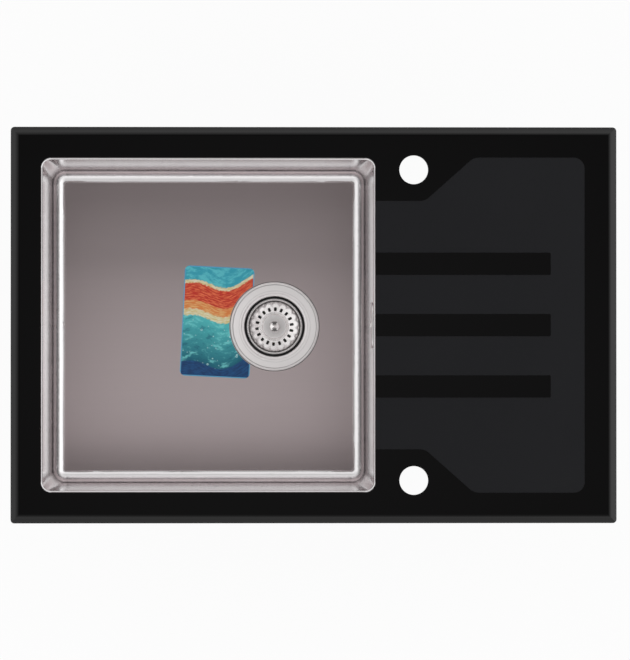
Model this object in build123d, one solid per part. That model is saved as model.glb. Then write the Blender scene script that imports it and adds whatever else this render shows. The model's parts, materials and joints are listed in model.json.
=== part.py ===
from build123d import *
from math import cos, radians, sin, sqrt, tan
import os

# Inset kitchen sink: a black glass deck with a drainer, a square steel bowl under it,
# a basket strainer waste, an overflow and six worktop clamps.
# Millimetres. +X runs from the bowl to the drainer, +Y to the back, +Z up.
# The origin is the centre of the deck's outline, at the underside of the glass.

# Deck
deck_length = 780.0
deck_width = 510.0
glass_thickness = 6.0
deck_corner_radius = 5.0
bevel_width = 11.5
bevel_drop = 2.0
arris = 0.5

# Bowl opening in the deck
opening_length = 430.0
opening_left_margin = 39.0
opening_side_margin = 40.0
opening_corner_radius = 13.0

# Tap holes, one each side, beside the opening
tap_hole_radius = 18.5
tap_hole_offset = 49.5
tap_hole_margin = 55.0

# Drainer field, etched into the glass, with full-height bars
etch_depth = 0.8
field_end_margin = 41.0
field_side_margin = 39.0
field_corner_radius = 14.0
notch_offset = 14.5
notch_depth = 40.0
notch_run = 63.0
notch_radius = 18.0
bar_width = 28.5
bar_pitch = 79.0
bar_count = 3
bar_end_margin = 44.0
bar_corner_radius = 1.5

# Bowl
bowl_depth = 200.0
bowl_sheet = 1.2
bowl_ledge = 2.0
bowl_bend_radius = 2.0
bowl_flange_width = 12.0
bowl_bottom_corner_radius = 17.0
floor_radius = 16.0
wall_draft = 1.84
bond_thickness = 1.0
bond_inset = 0.5

# Drain seat in the bowl floor
drain_offset = 87.5
drain_hole_radius = 45.5
seat_lip_depth = 1.4
seat_lip_run = 0.5
seat_fall = 2.4

# Strainer flange and well
strainer_sheet = 0.9
flange_radius = 59.0
flange_clearance = 0.3
bead_width = 3.4
bead_height = 0.8
flange_neck_radius = 44.9
flange_neck_run = 1.4
flange_neck_drop = 1.0
flange_shoulder_drop = 2.3
well_radius = 40.0
well_ledge_radius = 36.6
well_ledge_depth = 12.0
well_depth = 28.0
well_hole_radius = 6.0
well_hole_pitch_radius = 24.0
well_hole_count = 8
gasket_thickness = 1.2
gasket_margin = 1.2

# Basket
basket_sheet = 0.7
basket_rim_radius = 36.9
basket_wall_radius = 35.4
basket_rim_height = 8.0
basket_wall_depth = 9.0
basket_depth = 15.0
basket_turn = 7.0
flute_count = 18
flute_top_radius = 34.2
flute_foot_radius = 19.6
flute_swell = 1.5
flute_foot_swell = 0.4
slot_width = 3.0
slot_length = 5.2
slot_pitch_radius = 23.3
ring_radius = 16.5
ring_width = 2.2
ring_height = 0.7
seal_radius = 39.7
seal_height = 4.2
seal_gap = 0.3
knob_radius = 6.8
knob_foot_radius = 7.2
knob_foot_height = 1.2
knob_neck_radius = 4.2
knob_neck_height = 9.0
knob_head_height = 4.5
knob_cone_height = 2.6
stem_radius = 2.4
stem_hole_depth = 8.0
stem_tip_gap = 0.6
grip_radius = 3.1
grip_height = 3.6
grip_rise = 0.4
post_radius = 8.0
post_height = 5.6
post_hole_radius = 3.4
post_hole_depth = 5.0

# Waste body under the bowl
waste_wall = 3.0
waste_rim_radius = 57.0
waste_rim_height = 5.0
waste_radius = 49.0
waste_gasket_thickness = 3.2
waste_cylinder_depth = 33.0
waste_cone_depth = 20.0
outlet_radius = 23.9
outlet_length = 26.0
hub_radius = 9.5
hub_gap = 1.5
hub_length = 22.0
rib_count = 3
rib_thickness = 2.5
rib_height = 14.0
insert_radius = 6.5
insert_length = 14.0
screw_shank_radius = 4.0
screw_shank_length = 24.0

# Overflow
overflow_drop = 38.0
overflow_slot_length = 52.0
overflow_slot_width = 16.0
cover_length = 60.0
cover_width = 26.0
cover_thickness = 1.2
cover_hole_radius = 3.4
cover_hole_offsets = (10.4, 20.5)
cover_screw_radius = 2.0
cover_screw_length = 16.0
cover_screw_head_radius = 4.2
cover_screw_head_height = 1.8
wall_gasket_thickness = 2.0
wall_gasket_margin = 0.8
head_length = 64.0
head_height = 34.0
head_depth = 30.0
head_wall = 2.2
head_corner_radius = 8.0
boss_radius = 4.5
port_axis_depth = 20.0
port_length = 20.0
port_radius = 14.0
port_bore_radius = 9.3
socket_depth = 12.0
side_port_drop = 15.0
side_port_length = 27.0
pipe_radius = 11.0
pipe_wall = 1.7
pipe_bend_radius = 42.0
nut_radius = 17.5
nut_overlap = 10.0
nut_length = 17.0
nut_lip = 2.2
nut_grip_count = 12
nut_grip_radius = 1.6
cone_seal_height = 4.5

# Support frame glued under the glass
cutout_overlap = 10.0
rail_inset = 2.0
rail_sheet = 1.2
rail_flange = 13.0
rail_height = 20.0
channel_count = 2
channel_width = 24.0
channel_height = 14.0
seal_strip_thickness = 3.0
seal_strip_width = 8.0
seal_strip_inset = 1.5

# Worktop clamps
clamps_per_side = 3
clamp_end_margin = 80.0
clamp_axis_inset = 5.8
bracket_width = 22.0
bracket_sheet = 2.0
bracket_top_gap = 2.0
bracket_drop = 27.0
clamp_screw_radius = 3.0
clamp_screw_length = 45.0
clamp_tip_height = 1.0
clamp_head_radius = 5.6
clamp_head_flange = 1.5
clamp_hex_width = 8.0
clamp_hex_height = 4.0
clamp_slot_width = 1.4
clamp_slot_depth = 1.8
clamp_nut_width = 10.0
clamp_nut_height = 5.0
clamp_washer_thickness = 1.2
clamp_washer_clearance = 0.2
claw_sheet = 2.5
claw_width = 11.0
claw_base_reach = 13.0
claw_reach = 27.0
claw_lift = 16.0
claw_tooth_height = 1.2
claw_tooth_width = 2.4

# Sound pads, earth tag and card
pad_thickness = 2.5
pad_corner_radius = 6.0
wall_pad_length = 260.0
wall_pad_height = 110.0
wall_pad_middle = 95.0
floor_pad_length = 190.0
floor_pad_width = 300.0
floor_pad_margin = 40.0
tag_offset = 64.0
tag_width = 12.0
tag_sheet = 1.0
tag_leg = 14.0
tag_tongue = 16.0
tag_drop = 30.0
tag_hole_radius = 2.6
card_length = 147.0
card_width = 93.0
card_thickness = 0.3
card_corner_radius = 7.0
card_turn = -2.8
card_offset_x = -76.5
card_offset_y = 6.0
card_clearance = 0.6

# Clearances: of a turning or sliding fit, and of fixed pieces that are only fitted together
running_gap = 0.08
fitting_gap = 0.1

# Heights that follow from the sizes above
glass_top = glass_thickness
bond_bottom = -bond_thickness
floor_z = glass_top - bowl_depth
floor_under_z = floor_z - bowl_sheet
draft = radians(wall_draft)

# Places that follow from them
opening_width = deck_width - 2 * opening_side_margin
opening_left_x = -deck_length / 2 + opening_left_margin
opening_right_x = opening_left_x + opening_length
bowl_x = opening_left_x + opening_length / 2
drain_x = bowl_x + drain_offset
at_drain = Pos(drain_x, 0, 0)
tap_hole_x = opening_right_x + tap_hole_offset
tap_hole_y = deck_width / 2 - tap_hole_margin
notch_start_x = tap_hole_x + notch_offset
notch_end_x = notch_start_x + notch_run
notch_half_width = tap_hole_y - notch_depth
field_end_x = deck_length / 2 - field_end_margin
field_half_width = deck_width / 2 - field_side_margin
bar_end_x = field_end_x - bar_end_margin
cutout_half_x = deck_length / 2 - cutout_overlap
cutout_half_y = deck_width / 2 - cutout_overlap
rail_outer_x = cutout_half_x - rail_inset
rail_outer_y = cutout_half_y - rail_inset
rail_inner_x = rail_outer_x - rail_flange
rail_inner_y = rail_outer_y - rail_flange
channel_pitch = (rail_inner_x - opening_right_x) / (channel_count + 1)
channel_xs = [opening_right_x + i * channel_pitch for i in range(1, channel_count + 1)]
clamp_pitch = 2 * (cutout_half_x - clamp_end_margin) / (clamps_per_side - 1)
clamp_xs = [(i - (clamps_per_side - 1) / 2) * clamp_pitch for i in range(clamps_per_side)]


def block(x0, x1, y0, y1, z0, z1):
    """Box between two corners."""
    middle = Pos((x0 + x1) / 2, (y0 + y1) / 2, (z0 + z1) / 2)
    return middle * Box(abs(x1 - x0), abs(y1 - y0), abs(z1 - z0))


def plate(length, width, corner, z0, z1, x=0.0, y=0.0):
    """Flat plate with rounded corners between two heights."""
    return extrude(Pos(x, y, z0) * RectangleRounded(length, width, corner), z1 - z0)


def tube(outer, inner, z0, z1):
    """Plain ring about Z between two heights."""
    middle = Pos(0, 0, (z0 + z1) / 2)
    return middle * (Cylinder(outer, abs(z1 - z0)) - Cylinder(inner, abs(z1 - z0)))


def rod(radius, z0, z1):
    """Plain cylinder about Z between two heights."""
    return Pos(0, 0, (z0 + z1) / 2) * Cylinder(radius, abs(z1 - z0))


def turned(*points):
    """Solid turned about Z from the (radius, height) corners of its section."""
    outline = Polyline(*[(r, 0, z) for r, z in points], close=True)
    return revolve(make_face(outline), Axis.Z)


def pressed(thickness, radii, *points):
    """Sheet turned about Z: a bent line of (radius, height) corners, thickened downwards."""
    line = FilletPolyline(*points, radius=radii)
    section = make_face(offset(line, thickness, side=Side.LEFT, closed=True).edges())
    return revolve(Plane.XZ * section, Axis.Z)


def around(count, piece):
    """Copies of a piece, evenly spaced about Z."""
    return [Rot(0, 0, 360 / count * i) * piece for i in range(count)]


# Deck


def drainer_etch():
    """What is etched out of the deck's top: the drainer field without its bars."""
    start_x = opening_right_x - glass_thickness
    corners = [
        (start_x, -notch_half_width),
        (notch_start_x, -notch_half_width),
        (notch_end_x, -field_half_width),
        (field_end_x, -field_half_width),
        (field_end_x, field_half_width),
        (notch_end_x, field_half_width),
        (notch_start_x, notch_half_width),
        (start_x, notch_half_width),
    ]
    field = make_face(Polyline(*corners, close=True))
    ends = field.vertices().filter_by(lambda v: v.X > notch_end_x + 1)
    field = fillet(ends, field_corner_radius)
    bends = field.vertices().filter_by(lambda v: start_x + 1 < v.X < notch_end_x + 1)
    field = fillet(bends, notch_radius)
    bar = RectangleRounded(bar_end_x - start_x + bar_width, bar_width, bar_corner_radius)
    bar_x = (start_x - bar_width + bar_end_x) / 2
    for i in range(bar_count):
        field -= Pos(bar_x, (i - (bar_count - 1) / 2) * bar_pitch) * bar
    return extrude(Pos(0, 0, glass_top - etch_depth) * field, 2 * etch_depth)


def ground_bar(size, length):
    """Bar along Y, as high as the glass, with the curved bevel of both edges running out past a size."""
    radius = (bevel_width**2 + bevel_drop**2) / (2 * bevel_drop)
    run = 1.2 * bevel_width
    crown = size / 2 - bevel_width
    end = crown + run
    low = glass_top - radius + sqrt(radius**2 - run**2)
    sides = Polyline((-end, 0, low), (-end, 0, -1), (end, 0, -1), (end, 0, low))
    top = Line((-crown, 0, glass_top), (crown, 0, glass_top))
    right = TangentArc((crown, 0, glass_top), (end, 0, low), tangent=(1, 0, 0))
    left = TangentArc((-crown, 0, glass_top), (-end, 0, low), tangent=(-1, 0, 0))
    return extrude(make_face([*sides.edges(), top, right, left]), length, both=True)


def glass_deck():
    """Tempered glass plate with a ground bevel, its cut-outs and the etched drainer."""
    deck = plate(deck_length, deck_width, deck_corner_radius, 0, glass_top)
    deck &= ground_bar(deck_length, deck_width)
    deck &= Rot(0, 0, 90) * ground_bar(deck_width, deck_length)
    holes = plate(opening_length, opening_width, opening_corner_radius, -1, glass_top + 1, bowl_x)
    arris_out = 2 * arris
    wide = RectangleRounded(opening_length + arris_out, opening_width + arris_out, opening_corner_radius + arris)
    narrow = RectangleRounded(opening_length, opening_width, opening_corner_radius)
    arris_levels = [Pos(bowl_x, 0, glass_top) * wide, Pos(bowl_x, 0, glass_top - arris) * narrow]
    holes += loft(arris_levels, ruled=True)
    for y in (-tap_hole_y, tap_hole_y):
        bore = rod(tap_hole_radius, -1, glass_top + 1)
        mouth = Pos(0, 0, glass_top - arris / 2) * Cone(tap_hole_radius, tap_hole_radius + arris, arris)
        holes += Pos(tap_hole_x, y, 0) * (bore + mouth)
    return deck - holes - drainer_etch()


def worktop_seal():
    """Foam strips under the deck's edge: two long ones and two short ones between them."""
    outer_x = deck_length / 2 - seal_strip_inset
    outer_y = deck_width / 2 - seal_strip_inset
    inner_x = outer_x - seal_strip_width
    inner_y = outer_y - seal_strip_width
    strips = []
    for side in (-1, 1):
        strips.append(block(-outer_x, outer_x, side * inner_y, side * outer_y, -seal_strip_thickness, 0))
        strips.append(block(side * inner_x, side * outer_x, -inner_y, inner_y, -seal_strip_thickness, 0))
    return Compound(children=strips)


# Bowl


def inner_half(size, z):
    """Half the bowl's inside across one side of the opening, at a height."""
    return size / 2 - bowl_ledge - (bond_bottom - z) * tan(draft)


def bowl_outline(z, grow):
    """Outline of the bowl's inside at a height, grown outwards."""
    share = (bond_bottom - z) / (bond_bottom - floor_z)
    top_radius = opening_corner_radius - bowl_ledge
    corner = top_radius + (bowl_bottom_corner_radius - top_radius) * share + grow
    length = 2 * (inner_half(opening_length, z) + grow)
    width = 2 * (inner_half(opening_width, z) + grow)
    return Pos(bowl_x, 0, z) * RectangleRounded(length, width, corner)


def bowl_solid(bottom_z, grow, bottom_radius):
    """Solid tub from the flange's level down, with a rounded bottom edge."""
    tub = loft([bowl_outline(bond_bottom, grow), bowl_outline(bottom_z, grow)], ruled=True)
    return fillet(tub.faces().sort_by(Axis.Z)[0].edges(), bottom_radius)


def seat_z(r):
    """Height of the conical drain seat at a radius from the drain's axis."""
    edge_radius = flange_radius + flange_clearance
    fall = (edge_radius - r) / (edge_radius - drain_hole_radius) * seat_fall
    return floor_z - seat_lip_depth - fall


def drain_seat():
    """Lip and cone pressed into the floor for the strainer flange, about Z."""
    edge = flange_radius + flange_clearance
    lip = edge + seat_lip_run
    top = [(lip, floor_z), (edge, seat_z(edge)), (drain_hole_radius, seat_z(drain_hole_radius))]
    return turned(*top, *[(r, z - bowl_sheet) for r, z in reversed(top)])


def wall_plane(side, z, outside):
    """Plane on a bowl wall at a height: x along the wall, y up it, z out of the chosen face."""
    dx, dy = side
    half = inner_half(opening_length if dx else opening_width, z)
    if outside:
        half += bowl_sheet / cos(draft)
    outward = Vector(dx * cos(draft), dy * cos(draft), -sin(draft))
    up = Vector(dx * sin(draft), dy * sin(draft), cos(draft))
    normal = outward if outside else outward * -1
    return Plane(origin=(bowl_x + dx * half, dy * half, z), x_dir=up.cross(normal), z_dir=normal)


overflow_wall = wall_plane((1, 0), glass_top - overflow_drop, outside=False)


def bowl():
    """Drawn steel bowl with its flange, drain seat and overflow slot, one sheet thick."""
    inside = bowl_solid(floor_z, 0, floor_radius)
    shell = bowl_solid(floor_under_z, bowl_sheet / cos(draft), floor_radius + bowl_sheet)
    flange_grow = bowl_sheet + bowl_flange_width
    shell += extrude(bowl_outline(bond_bottom, flange_grow), -bowl_sheet)
    shell -= inside
    bend_edges = shell.faces().sort_by(Axis.Z)[-1].inner_wires()[0].edges()
    shell = fillet(bend_edges, bowl_bend_radius)
    under = bond_bottom - bowl_sheet
    under_face = shell.faces().filter_by(Plane.XY).filter_by(lambda f: abs(f.center().Z - under) < 0.01)[0]
    shell = fillet(under_face.inner_wires()[0].edges(), bowl_bend_radius - bowl_sheet)
    lip = flange_radius + flange_clearance + seat_lip_run
    shell -= at_drain * rod(lip, floor_under_z - 1, floor_z + 1)
    shell += at_drain * drain_seat()
    slot = SlotOverall(overflow_slot_length, overflow_slot_width)
    shell -= overflow_wall * Pos(0, 0, -2 * bowl_sheet) * extrude(slot, 4 * bowl_sheet)
    return shell


def bowl_bond():
    """Silicone bead between the bowl's flange and the glass."""
    outer = bowl_outline(bond_bottom, bowl_sheet + bowl_flange_width - bond_inset)
    inner = bowl_outline(bond_bottom, bowl_ledge + bond_inset)
    return extrude(outer - inner, bond_thickness)


# Support frame


def rail(length):
    """Angle rail along X: its flange under the glass, its web down from the inner edge, at y=0."""
    flange = block(-length / 2, length / 2, 0, rail_flange, bond_bottom - rail_sheet, bond_bottom)
    web = block(-length / 2, length / 2, 0, rail_sheet, bond_bottom - rail_height, bond_bottom)
    return flange + web


def long_rail(turn):
    """Rail along the back, or along the front when turned half round."""
    return Rot(0, 0, turn) * Pos(0, rail_inner_y, 0) * rail(2 * rail_outer_x)


def short_rail(turn):
    """Rail along the left side at a quarter turn, or along the right at three."""
    return Rot(0, 0, turn) * Pos(0, rail_inner_x, 0) * rail(2 * rail_inner_y)


def channel(x):
    """Upside-down channel across the deck, butted against the long rails' webs."""
    half = channel_width / 2
    outer = block(x - half, x + half, -rail_inner_y, rail_inner_y, bond_bottom - channel_height, bond_bottom)
    room = half - rail_sheet
    under = bond_bottom - rail_sheet
    bottom = bond_bottom - channel_height - 1
    return outer - block(x - room, x + room, -rail_inner_y - 1, rail_inner_y + 1, bottom, under)


def rail_bond():
    """Adhesive beds on the four rails and the channels."""
    beds = []
    for side in (-1, 1):
        inner_y, outer_y = side * (rail_inner_y + bond_inset), side * (rail_outer_y - bond_inset)
        inner_x, outer_x = side * (rail_inner_x + bond_inset), side * (rail_outer_x - bond_inset)
        beds.append(block(-rail_outer_x, rail_outer_x, inner_y, outer_y, bond_bottom, 0))
        beds.append(block(inner_x, outer_x, -rail_inner_y, rail_inner_y, bond_bottom, 0))
    half = channel_width / 2 - bond_inset
    for x in channel_xs:
        beds.append(block(x - half, x + half, -rail_inner_y, rail_inner_y, bond_bottom, 0))
    return Compound(children=beds)


# Clamps, each made for the back rail at x=0 and then placed

clamp_axis_y = cutout_half_y - clamp_axis_inset
bracket_tab_z = -bracket_drop
nut_top_z = bracket_tab_z + bracket_sheet + clamp_nut_height
screw_tip_z = nut_top_z + clamp_tip_height
head_under_z = screw_tip_z - clamp_screw_length
washer_z = head_under_z + running_gap
claw_z = washer_z + clamp_washer_thickness + running_gap
clamp_bore = clamp_screw_radius + running_gap
on_clamp_axis = Pos(0, clamp_axis_y, 0)
clamp_places = [Rot(0, 0, turn) * Pos(x, 0, 0) for turn in (0, 180) for x in clamp_xs]


def clamp_bracket():
    """Angle bracket welded to the rail's web, with a tab for the nut."""
    back_y = rail_inner_y + rail_sheet
    half = bracket_width / 2
    top = bond_bottom - rail_sheet - bracket_top_gap
    leg = block(-half, half, back_y, back_y + bracket_sheet, bracket_tab_z, top)
    tab_end = clamp_axis_y + clamp_axis_inset - 1
    tab = block(-half, half, back_y, tab_end, bracket_tab_z, bracket_tab_z + bracket_sheet)
    corners = tab.edges().filter_by(Axis.Z).filter_by(lambda e: e.center().Y > tab_end - 0.01)
    tab = fillet(corners, bracket_sheet)
    return leg + tab - on_clamp_axis * rod(clamp_bore, bracket_tab_z - 1, nut_top_z)


def clamp_nut():
    """Hexagon weld nut on the bracket's tab."""
    base = bracket_tab_z + bracket_sheet
    hexagon = RegularPolygon(clamp_nut_width / 2, 6, major_radius=False, rotation=30)
    nut = extrude(Pos(0, 0, base) * hexagon, clamp_nut_height)
    return on_clamp_axis * (nut - rod(clamp_bore, base - 1, nut_top_z + 1))


def clamp_screw():
    """Flanged hexagon screw with a slot, pointing up."""
    tip = clamp_screw_radius / 3
    points = [
        (0, head_under_z),
        (clamp_screw_radius, head_under_z),
        (clamp_screw_radius, screw_tip_z - tip),
        (clamp_screw_radius - tip, screw_tip_z),
        (0, screw_tip_z),
    ]
    flange_z = head_under_z - clamp_head_flange
    head_z = flange_z - clamp_hex_height
    hexagon = RegularPolygon(clamp_hex_width / 2, 6, major_radius=False)
    screw = turned(*points) + rod(clamp_head_radius, flange_z, head_under_z)
    screw += extrude(Pos(0, 0, head_z) * hexagon, clamp_hex_height)
    half = clamp_slot_width / 2
    screw -= block(-clamp_hex_width, clamp_hex_width, -half, half, head_z - 1, head_z + clamp_slot_depth)
    return on_clamp_axis * screw


def clamp_washer():
    """Plain washer between the screw's head and the claw."""
    bore = clamp_screw_radius + clamp_washer_clearance
    return on_clamp_axis * tube(clamp_head_radius, bore, washer_z, washer_z + clamp_washer_thickness)


def clamp_claw():
    """Cranked claw, parked along the rail, with two teeth at its raised end."""
    half = claw_width / 2
    top = claw_z + claw_lift
    base = block(0, claw_base_reach, -half, half, claw_z, claw_z + claw_sheet)
    base += rod(half, claw_z, claw_z + claw_sheet)
    riser = block(claw_base_reach - claw_sheet, claw_base_reach, -half, half, claw_z, top)
    pad = block(claw_base_reach - claw_sheet, claw_reach, -half, half, top - claw_sheet, top)
    claw = base + riser + pad
    for i in (1, 2):
        root = claw_reach - i * claw_tooth_width
        tooth = Polyline(
            (root, 0, top), (root + claw_tooth_width, 0, top), (root + claw_tooth_width, 0, top + claw_tooth_height), close=True
        )
        claw += extrude(Pos(0, half, 0) * make_face(tooth), claw_width)
    return on_clamp_axis * (claw - rod(clamp_bore, claw_z - 1, claw_z + claw_sheet + 1))


# Strainer and basket, made about Z and then placed at the drain

flange_under_z = seat_z(flange_radius) + gasket_thickness + fitting_gap
flange_edge_z = flange_under_z + strainer_sheet
cone_slope = seat_fall / (flange_radius + flange_clearance - drain_hole_radius)
neck_z = flange_edge_z - (flange_radius - flange_neck_radius) * cone_slope
well_ledge_z = floor_z - well_ledge_depth
well_floor_z = floor_z - well_depth
basket_rim_z = well_ledge_z + basket_rim_height
basket_floor_z = basket_rim_z - basket_depth
well_under_z = well_floor_z - strainer_sheet


def strainer_flange():
    """Pressed flange with a rolled rim, a neck, a well with a ledge, and a perforated floor."""
    ring = pressed(
        strainer_sheet,
        [1.6, 1.6, 1.8, 1.5, 1.5, 3.0],
        (flange_radius, flange_edge_z),
        (flange_neck_radius, neck_z),
        (flange_neck_radius - flange_neck_run, neck_z - flange_neck_drop),
        (well_radius + fitting_gap, neck_z - flange_shoulder_drop),
        (well_radius, well_ledge_z),
        (well_ledge_radius, well_ledge_z),
        (well_ledge_radius, well_floor_z),
        (screw_shank_radius + fitting_gap, well_floor_z),
    )
    bead_root = flange_edge_z - strainer_sheet / 2
    bead_inner = flange_radius - bead_width
    ends = [Vector(bead_inner, 0, bead_root), Vector(flange_radius, 0, bead_root)]
    crown = Vector(flange_radius - bead_width / 2, 0, flange_edge_z + bead_height)
    bead = make_face([ThreePointArc(ends[0], crown, ends[1]), Line(ends[1], ends[0])])
    ring += revolve(bead, Axis.Z)
    hole = rod(well_hole_radius, well_under_z - 1, well_floor_z + 1)
    for copy in around(well_hole_count, Pos(well_hole_pitch_radius, 0, 0) * hole):
        ring -= copy
    return at_drain * ring


def conical_gasket(inner, outer, bottom, top):
    """Ring with a conical seat face: bottom and top give the height at a radius."""
    return at_drain * turned((inner, bottom(inner)), (outer, bottom(outer)), (outer, top(outer)), (inner, top(inner)))


def flange_gasket():
    """Rubber ring between the strainer flange and the bowl's seat."""
    outer = flange_radius - gasket_margin
    inner = drain_hole_radius + gasket_margin
    lower = fitting_gap / 2
    return conical_gasket(inner, outer, lambda r: seat_z(r) + lower, lambda r: seat_z(r) + lower + gasket_thickness)


def scalloped(z, radius, swell):
    """Closed outline at a height with one outward arc for each flute."""
    step = 360 / flute_count
    arcs = []
    for i in range(flute_count):
        ends = [Vector(radius, 0, z).rotate(Axis.Z, (i + side) * step) for side in (-0.5, 0.5)]
        crown = Vector(radius + swell, 0, z).rotate(Axis.Z, i * step)
        arcs.append(ThreePointArc(ends[0], crown, ends[1]))
    return make_face(Wire(arcs).edges())


def fluted_cone(top_z, foot_z, grow):
    """Cone with scalloped flanks, the flutes of the basket."""
    top = scalloped(top_z, flute_top_radius - flute_swell + grow, flute_swell)
    foot = scalloped(foot_z, flute_foot_radius - flute_foot_swell + grow, flute_foot_swell)
    return loft([top, foot], ruled=True)


def basket_dish():
    """Strainer basket: a rim, a straight wall, a fluted and slotted cone and a floor with a raised ring."""
    wall_foot = basket_rim_z - basket_wall_depth
    under_z = basket_floor_z - basket_sheet
    inner_wall = basket_wall_radius - basket_sheet
    rim = pressed(
        basket_sheet,
        [1.2],
        (basket_rim_radius, basket_rim_z),
        (inner_wall, basket_rim_z),
        (inner_wall, wall_foot),
    )
    body = rod(basket_wall_radius, wall_foot - basket_sheet, wall_foot) + fluted_cone(
        wall_foot - basket_sheet, under_z, basket_sheet
    )
    body -= fluted_cone(wall_foot + basket_sheet, basket_floor_z, 0)
    dish = rim + body
    dish += tube(ring_radius + ring_width / 2, ring_radius - ring_width / 2, basket_floor_z, basket_floor_z + ring_height)
    slot = extrude(Pos(slot_pitch_radius, 0, under_z - 1) * Rectangle(slot_length, slot_width), basket_depth)
    for copy in around(flute_count, slot):
        dish -= copy
    dish -= rod(stem_radius + fitting_gap, under_z - 1, basket_floor_z + 1)
    return at_drain * Rot(0, 0, basket_turn) * dish


def basket_seal():
    """Rubber ring on the basket's wall that closes on the well's ledge."""
    bottom = well_ledge_z + seal_gap
    inner = basket_wall_radius + fitting_gap
    top = bottom + seal_height
    return at_drain * turned(
        (inner, bottom),
        (seal_radius - 1.0, bottom),
        (seal_radius, bottom + 1.0),
        (seal_radius, top - 1.6),
        (basket_rim_radius, top),
        (inner, top),
    )


def basket_knob():
    """Turned knob with a foot, a neck and a coned head, bored from below for the stem."""
    neck_z0 = basket_floor_z + knob_foot_height
    head_z0 = basket_floor_z + knob_neck_height
    head_z1 = head_z0 + knob_head_height
    knob = turned(
        (0, basket_floor_z),
        (knob_foot_radius, basket_floor_z),
        (knob_foot_radius, neck_z0 - 0.4),
        (knob_foot_radius - 0.4, neck_z0),
        (knob_neck_radius, neck_z0 + 0.6),
        (knob_neck_radius, head_z0 - 1.6),
        (knob_radius, head_z0),
        (knob_radius, head_z1 - 0.6),
        (knob_radius - 0.6, head_z1),
        (0.8, head_z1 + knob_cone_height),
        (0, head_z1 + knob_cone_height),
    )
    knob -= rod(stem_radius + fitting_gap, basket_floor_z - 1, basket_floor_z + stem_hole_depth)
    return at_drain * knob


post_top_z = well_floor_z + post_height
stem_tip_z = post_top_z - post_hole_depth + stem_tip_gap


def basket_stem():
    """Pin from inside the knob, through the dish, down into the waste screw's head."""
    stem = rod(stem_radius, stem_tip_z, basket_floor_z + stem_hole_depth - fitting_gap)
    return at_drain * stem


def basket_grip():
    """Rubber sleeve on the stem's lower end that grips inside the waste screw's head."""
    bottom = stem_tip_z + grip_rise
    return at_drain * tube(grip_radius, stem_radius + fitting_gap / 2, bottom, bottom + grip_height)


# Waste body

waste_top_z = seat_z(drain_hole_radius) - bowl_sheet - waste_gasket_thickness
waste_cone_z = waste_top_z - waste_cylinder_depth
spigot_z = waste_cone_z - waste_cone_depth
outlet_z = spigot_z - outlet_length
outlet_bore = outlet_radius - waste_wall
hub_top_z = well_under_z - hub_gap
side_port_z = waste_top_z - side_port_drop
side_port_start_x = drain_x + waste_radius
side_port_end_x = side_port_start_x + side_port_length


def waste_gasket():
    """Rubber ring between the waste body's rim and the underside of the drain seat."""
    outer = waste_rim_radius - gasket_margin
    inner = drain_hole_radius + gasket_margin
    top_gap = bowl_sheet + fitting_gap / 2
    return conical_gasket(inner, outer, lambda r: waste_top_z, lambda r: seat_z(r) - top_gap)


def port(length, start_gap):
    """Threaded port about Z, from z=0 up to its mouth: its tube and, apart, its bore and socket."""
    body = rod(port_radius, -start_gap, length)
    bore = rod(port_bore_radius, -start_gap - waste_wall, length + 1)
    bore += rod(pipe_radius + fitting_gap, length - socket_depth, length + 1)
    return body, bore


side_port_place = Pos(side_port_start_x, 0, side_port_z) * Rot(0, 90, 0)


def waste_body():
    """Moulded funnel with a rim, a side port for the overflow and a ribbed hub."""
    inner = waste_radius - waste_wall
    body = turned(
        (0, spigot_z),
        (outlet_radius, spigot_z),
        (waste_radius, waste_cone_z),
        (waste_radius, waste_top_z - waste_rim_height),
        (waste_rim_radius, waste_top_z - waste_rim_height),
        (waste_rim_radius, waste_top_z),
        (0, waste_top_z),
    )
    to_drain = Pos(-drain_x, 0, 0)
    port_body, port_bore = port(side_port_length, waste_wall / 2)
    body += to_drain * side_port_place * port_body
    body -= turned(
        (0, spigot_z - 1),
        (outlet_bore, spigot_z - 1),
        (outlet_bore, spigot_z + waste_wall / 2),
        (inner, waste_cone_z + waste_wall / 2),
        (inner, waste_top_z + 1),
        (0, waste_top_z + 1),
    )
    body -= to_drain * side_port_place * port_bore
    hub_bottom = hub_top_z - hub_length
    rib_top = waste_cone_z + rib_height / 2
    rib = block(0, waste_radius - waste_wall / 2, -rib_thickness / 2, rib_thickness / 2, rib_top - rib_height, rib_top)
    envelope = turned(
        (0, spigot_z),
        (outlet_radius, spigot_z),
        (waste_radius - waste_wall / 2, waste_cone_z),
        (waste_radius - waste_wall / 2, rib_top),
        (0, rib_top),
    )
    for copy in around(rib_count, rib):
        body += Rot(0, 0, 60) * copy & envelope
    body += rod(hub_radius, hub_bottom, hub_top_z)
    body -= rod(insert_radius + fitting_gap, hub_top_z - insert_length, hub_top_z + 1)
    body -= rod(screw_shank_radius + 0.5, hub_bottom - 1, hub_top_z)
    return at_drain * body


def waste_spigot():
    """Outlet spigot, welded to the funnel's foot."""
    return at_drain * tube(outlet_radius, outlet_bore, outlet_z, spigot_z)


def waste_insert():
    """Brass insert in the hub that takes the centre screw."""
    return at_drain * tube(
        insert_radius, screw_shank_radius + fitting_gap, hub_top_z - insert_length, hub_top_z
    )


def waste_screw():
    """Centre screw with a tall hollow head that receives the basket's stem."""
    screw = rod(post_radius, well_floor_z, post_top_z)
    screw += rod(screw_shank_radius, well_floor_z - screw_shank_length, well_floor_z)
    screw = chamfer(screw.faces().sort_by(Axis.Z)[-1].edges(), 0.8)
    screw -= rod(post_hole_radius, post_top_z - post_hole_depth, post_top_z + 1)
    return at_drain * screw


# Overflow, made on the wall's plane: x along the wall, y up it, z into the bowl

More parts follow.
